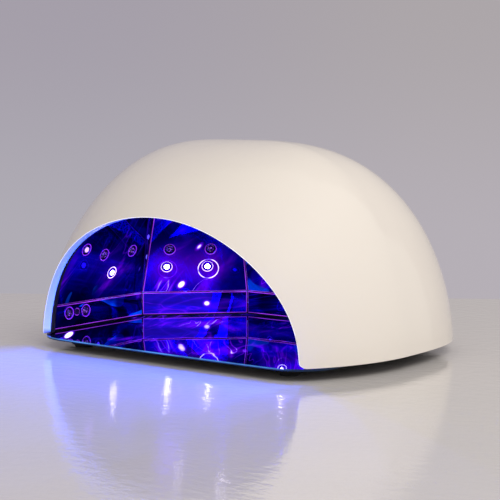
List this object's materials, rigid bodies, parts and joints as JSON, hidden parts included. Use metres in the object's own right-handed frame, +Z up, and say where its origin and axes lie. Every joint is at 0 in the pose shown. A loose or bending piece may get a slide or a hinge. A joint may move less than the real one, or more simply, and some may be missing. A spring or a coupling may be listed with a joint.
{
  "type": "uv led nail lamp",
  "caption": "Domed table lamp that cures nail varnish: arched hand opening, faceted mirror chamber with LEDs, lift-off mirror tray on rubber feet.",
  "frame": {"origin": "centre of the lamp's footprint on the table, below the middle of its bounding box", "axes": "+Z up, -Y out of the hand opening, +X to the right of someone facing the opening's back wall"},
  "size_m": [0.2281, 0.1713, 0.1189],
  "materials": {
    "shell_ivory": "high gloss ivory",
    "black_trim": "satin black",
    "frame_black": "matt black",
    "screw_steel": "zinc plated",
    "magnet": "nickel plated",
    "mirror_sheet": "polished reflector sheet",
    "circuit_board": "white solder mask",
    "led_cup": "polished bezel",
    "led_lens": "clear lens, lit blue violet",
    "sensor_black": "dark infrared window",
    "tray_mirror": "mirror polished steel",
    "foot_rubber": "matt black rubber",
    "chip_black": "moulded chip",
    "capacitor_can": "bare can",
    "connector_white": "natural nylon",
    "switch_black": "matt black",
    "switch_plunger": "matt black",
    "button_grey": "satin warm grey",
    "window_tint": "smoked clear plastic",
    "display_black": "black display housing",
    "inlet_black": "matt black",
    "inlet_pin": "plated contact",
    "wire_black": "insulated wire"
  },
  "bodies": {
    "base_tray": {"mirror_tray": "tray_mirror", "rubber_feet": "foot_rubber"},
    "button_1": {"timer_button_1": "button_grey", "switch_plunger_1": "switch_plunger"},
    "button_2": {"timer_button_2": "button_grey", "switch_plunger_2": "switch_plunger"},
    "button_3": {"timer_button_3": "button_grey", "switch_plunger_3": "switch_plunger"},
    "button_4": {"timer_button_4": "button_grey", "switch_plunger_4": "switch_plunger"},
    "lamp_head": {"outer_shell": "shell_ivory", "mouth_gasket": "black_trim", "bottom_frame": "frame_black", "frame_screws": "screw_steel", "tray_magnets": "magnet", "mirror_panel_left": "mirror_sheet", "mirror_band_left": "mirror_sheet", "led_board_left": "circuit_board", "led_cups_left": "led_cup", "led_lenses_left": "led_lens", "mirror_panel_back_left": "mirror_sheet", "mirror_band_back_left": "mirror_sheet", "led_board_back_left": "circuit_board", "led_cups_back_left": "led_cup", "led_lenses_back_left": "led_lens", "mirror_panel_back": "mirror_sheet", "mirror_band_back": "mirror_sheet", "led_board_back": "circuit_board", "led_cups_back": "led_cup", "led_lenses_back": "led_lens", "mirror_panel_back_right": "mirror_sheet", "mirror_band_back_right": "mirror_sheet", "led_board_back_right": "circuit_board", "led_cups_back_right": "led_cup", "led_lenses_back_right": "led_lens", "mirror_panel_right": "mirror_sheet", "mirror_band_right": "mirror_sheet", "led_board_right": "circuit_board", "led_cups_right": "led_cup", "led_lenses_right": "led_lens", "mirror_roof": "mirror_sheet", "led_board_roof": "circuit_board", "led_cups_roof": "led_cup", "led_lenses_roof": "led_lens", "hand_sensor_left": "sensor_black", "hand_sensor_right": "sensor_black", "sensor_boards": "circuit_board", "control_board": "circuit_board", "board_screws": "screw_steel", "microcontroller": "chip_black", "capacitors": "capacitor_can", "board_connectors": "connector_white", "tact_switches": "switch_black", "display_window": "window_tint", "display_module": "display_black", "power_inlet": "inlet_black", "inlet_pin": "inlet_pin", "power_wire": "wire_black", "led_wires": "wire_black"}
  },
  "joints": [
    {"name": "head_lift", "type": "slide", "parent": "base_tray", "child": "lamp_head", "axis": [0, 0, 1], "range_m": [0, 0.12]},
    {"name": "button_press_1", "type": "slide", "parent": "lamp_head", "child": "button_1", "axis": [0, 0, -1], "range_m": [0, 0.0005], "stiffness_N_per_m": 2600, "springref_m": -0.0001},
    {"name": "button_press_2", "type": "slide", "parent": "lamp_head", "child": "button_2", "axis": [0, 0, -1], "range_m": [0, 0.0005], "stiffness_N_per_m": 2600, "springref_m": -0.0001},
    {"name": "button_press_3", "type": "slide", "parent": "lamp_head", "child": "button_3", "axis": [0, 0, -1], "range_m": [0, 0.0005], "stiffness_N_per_m": 2600, "springref_m": -0.0001},
    {"name": "button_press_4", "type": "slide", "parent": "lamp_head", "child": "button_4", "axis": [0, 0, -1], "range_m": [0, 0.0005], "stiffness_N_per_m": 2600, "springref_m": -0.0001}
  ]
}
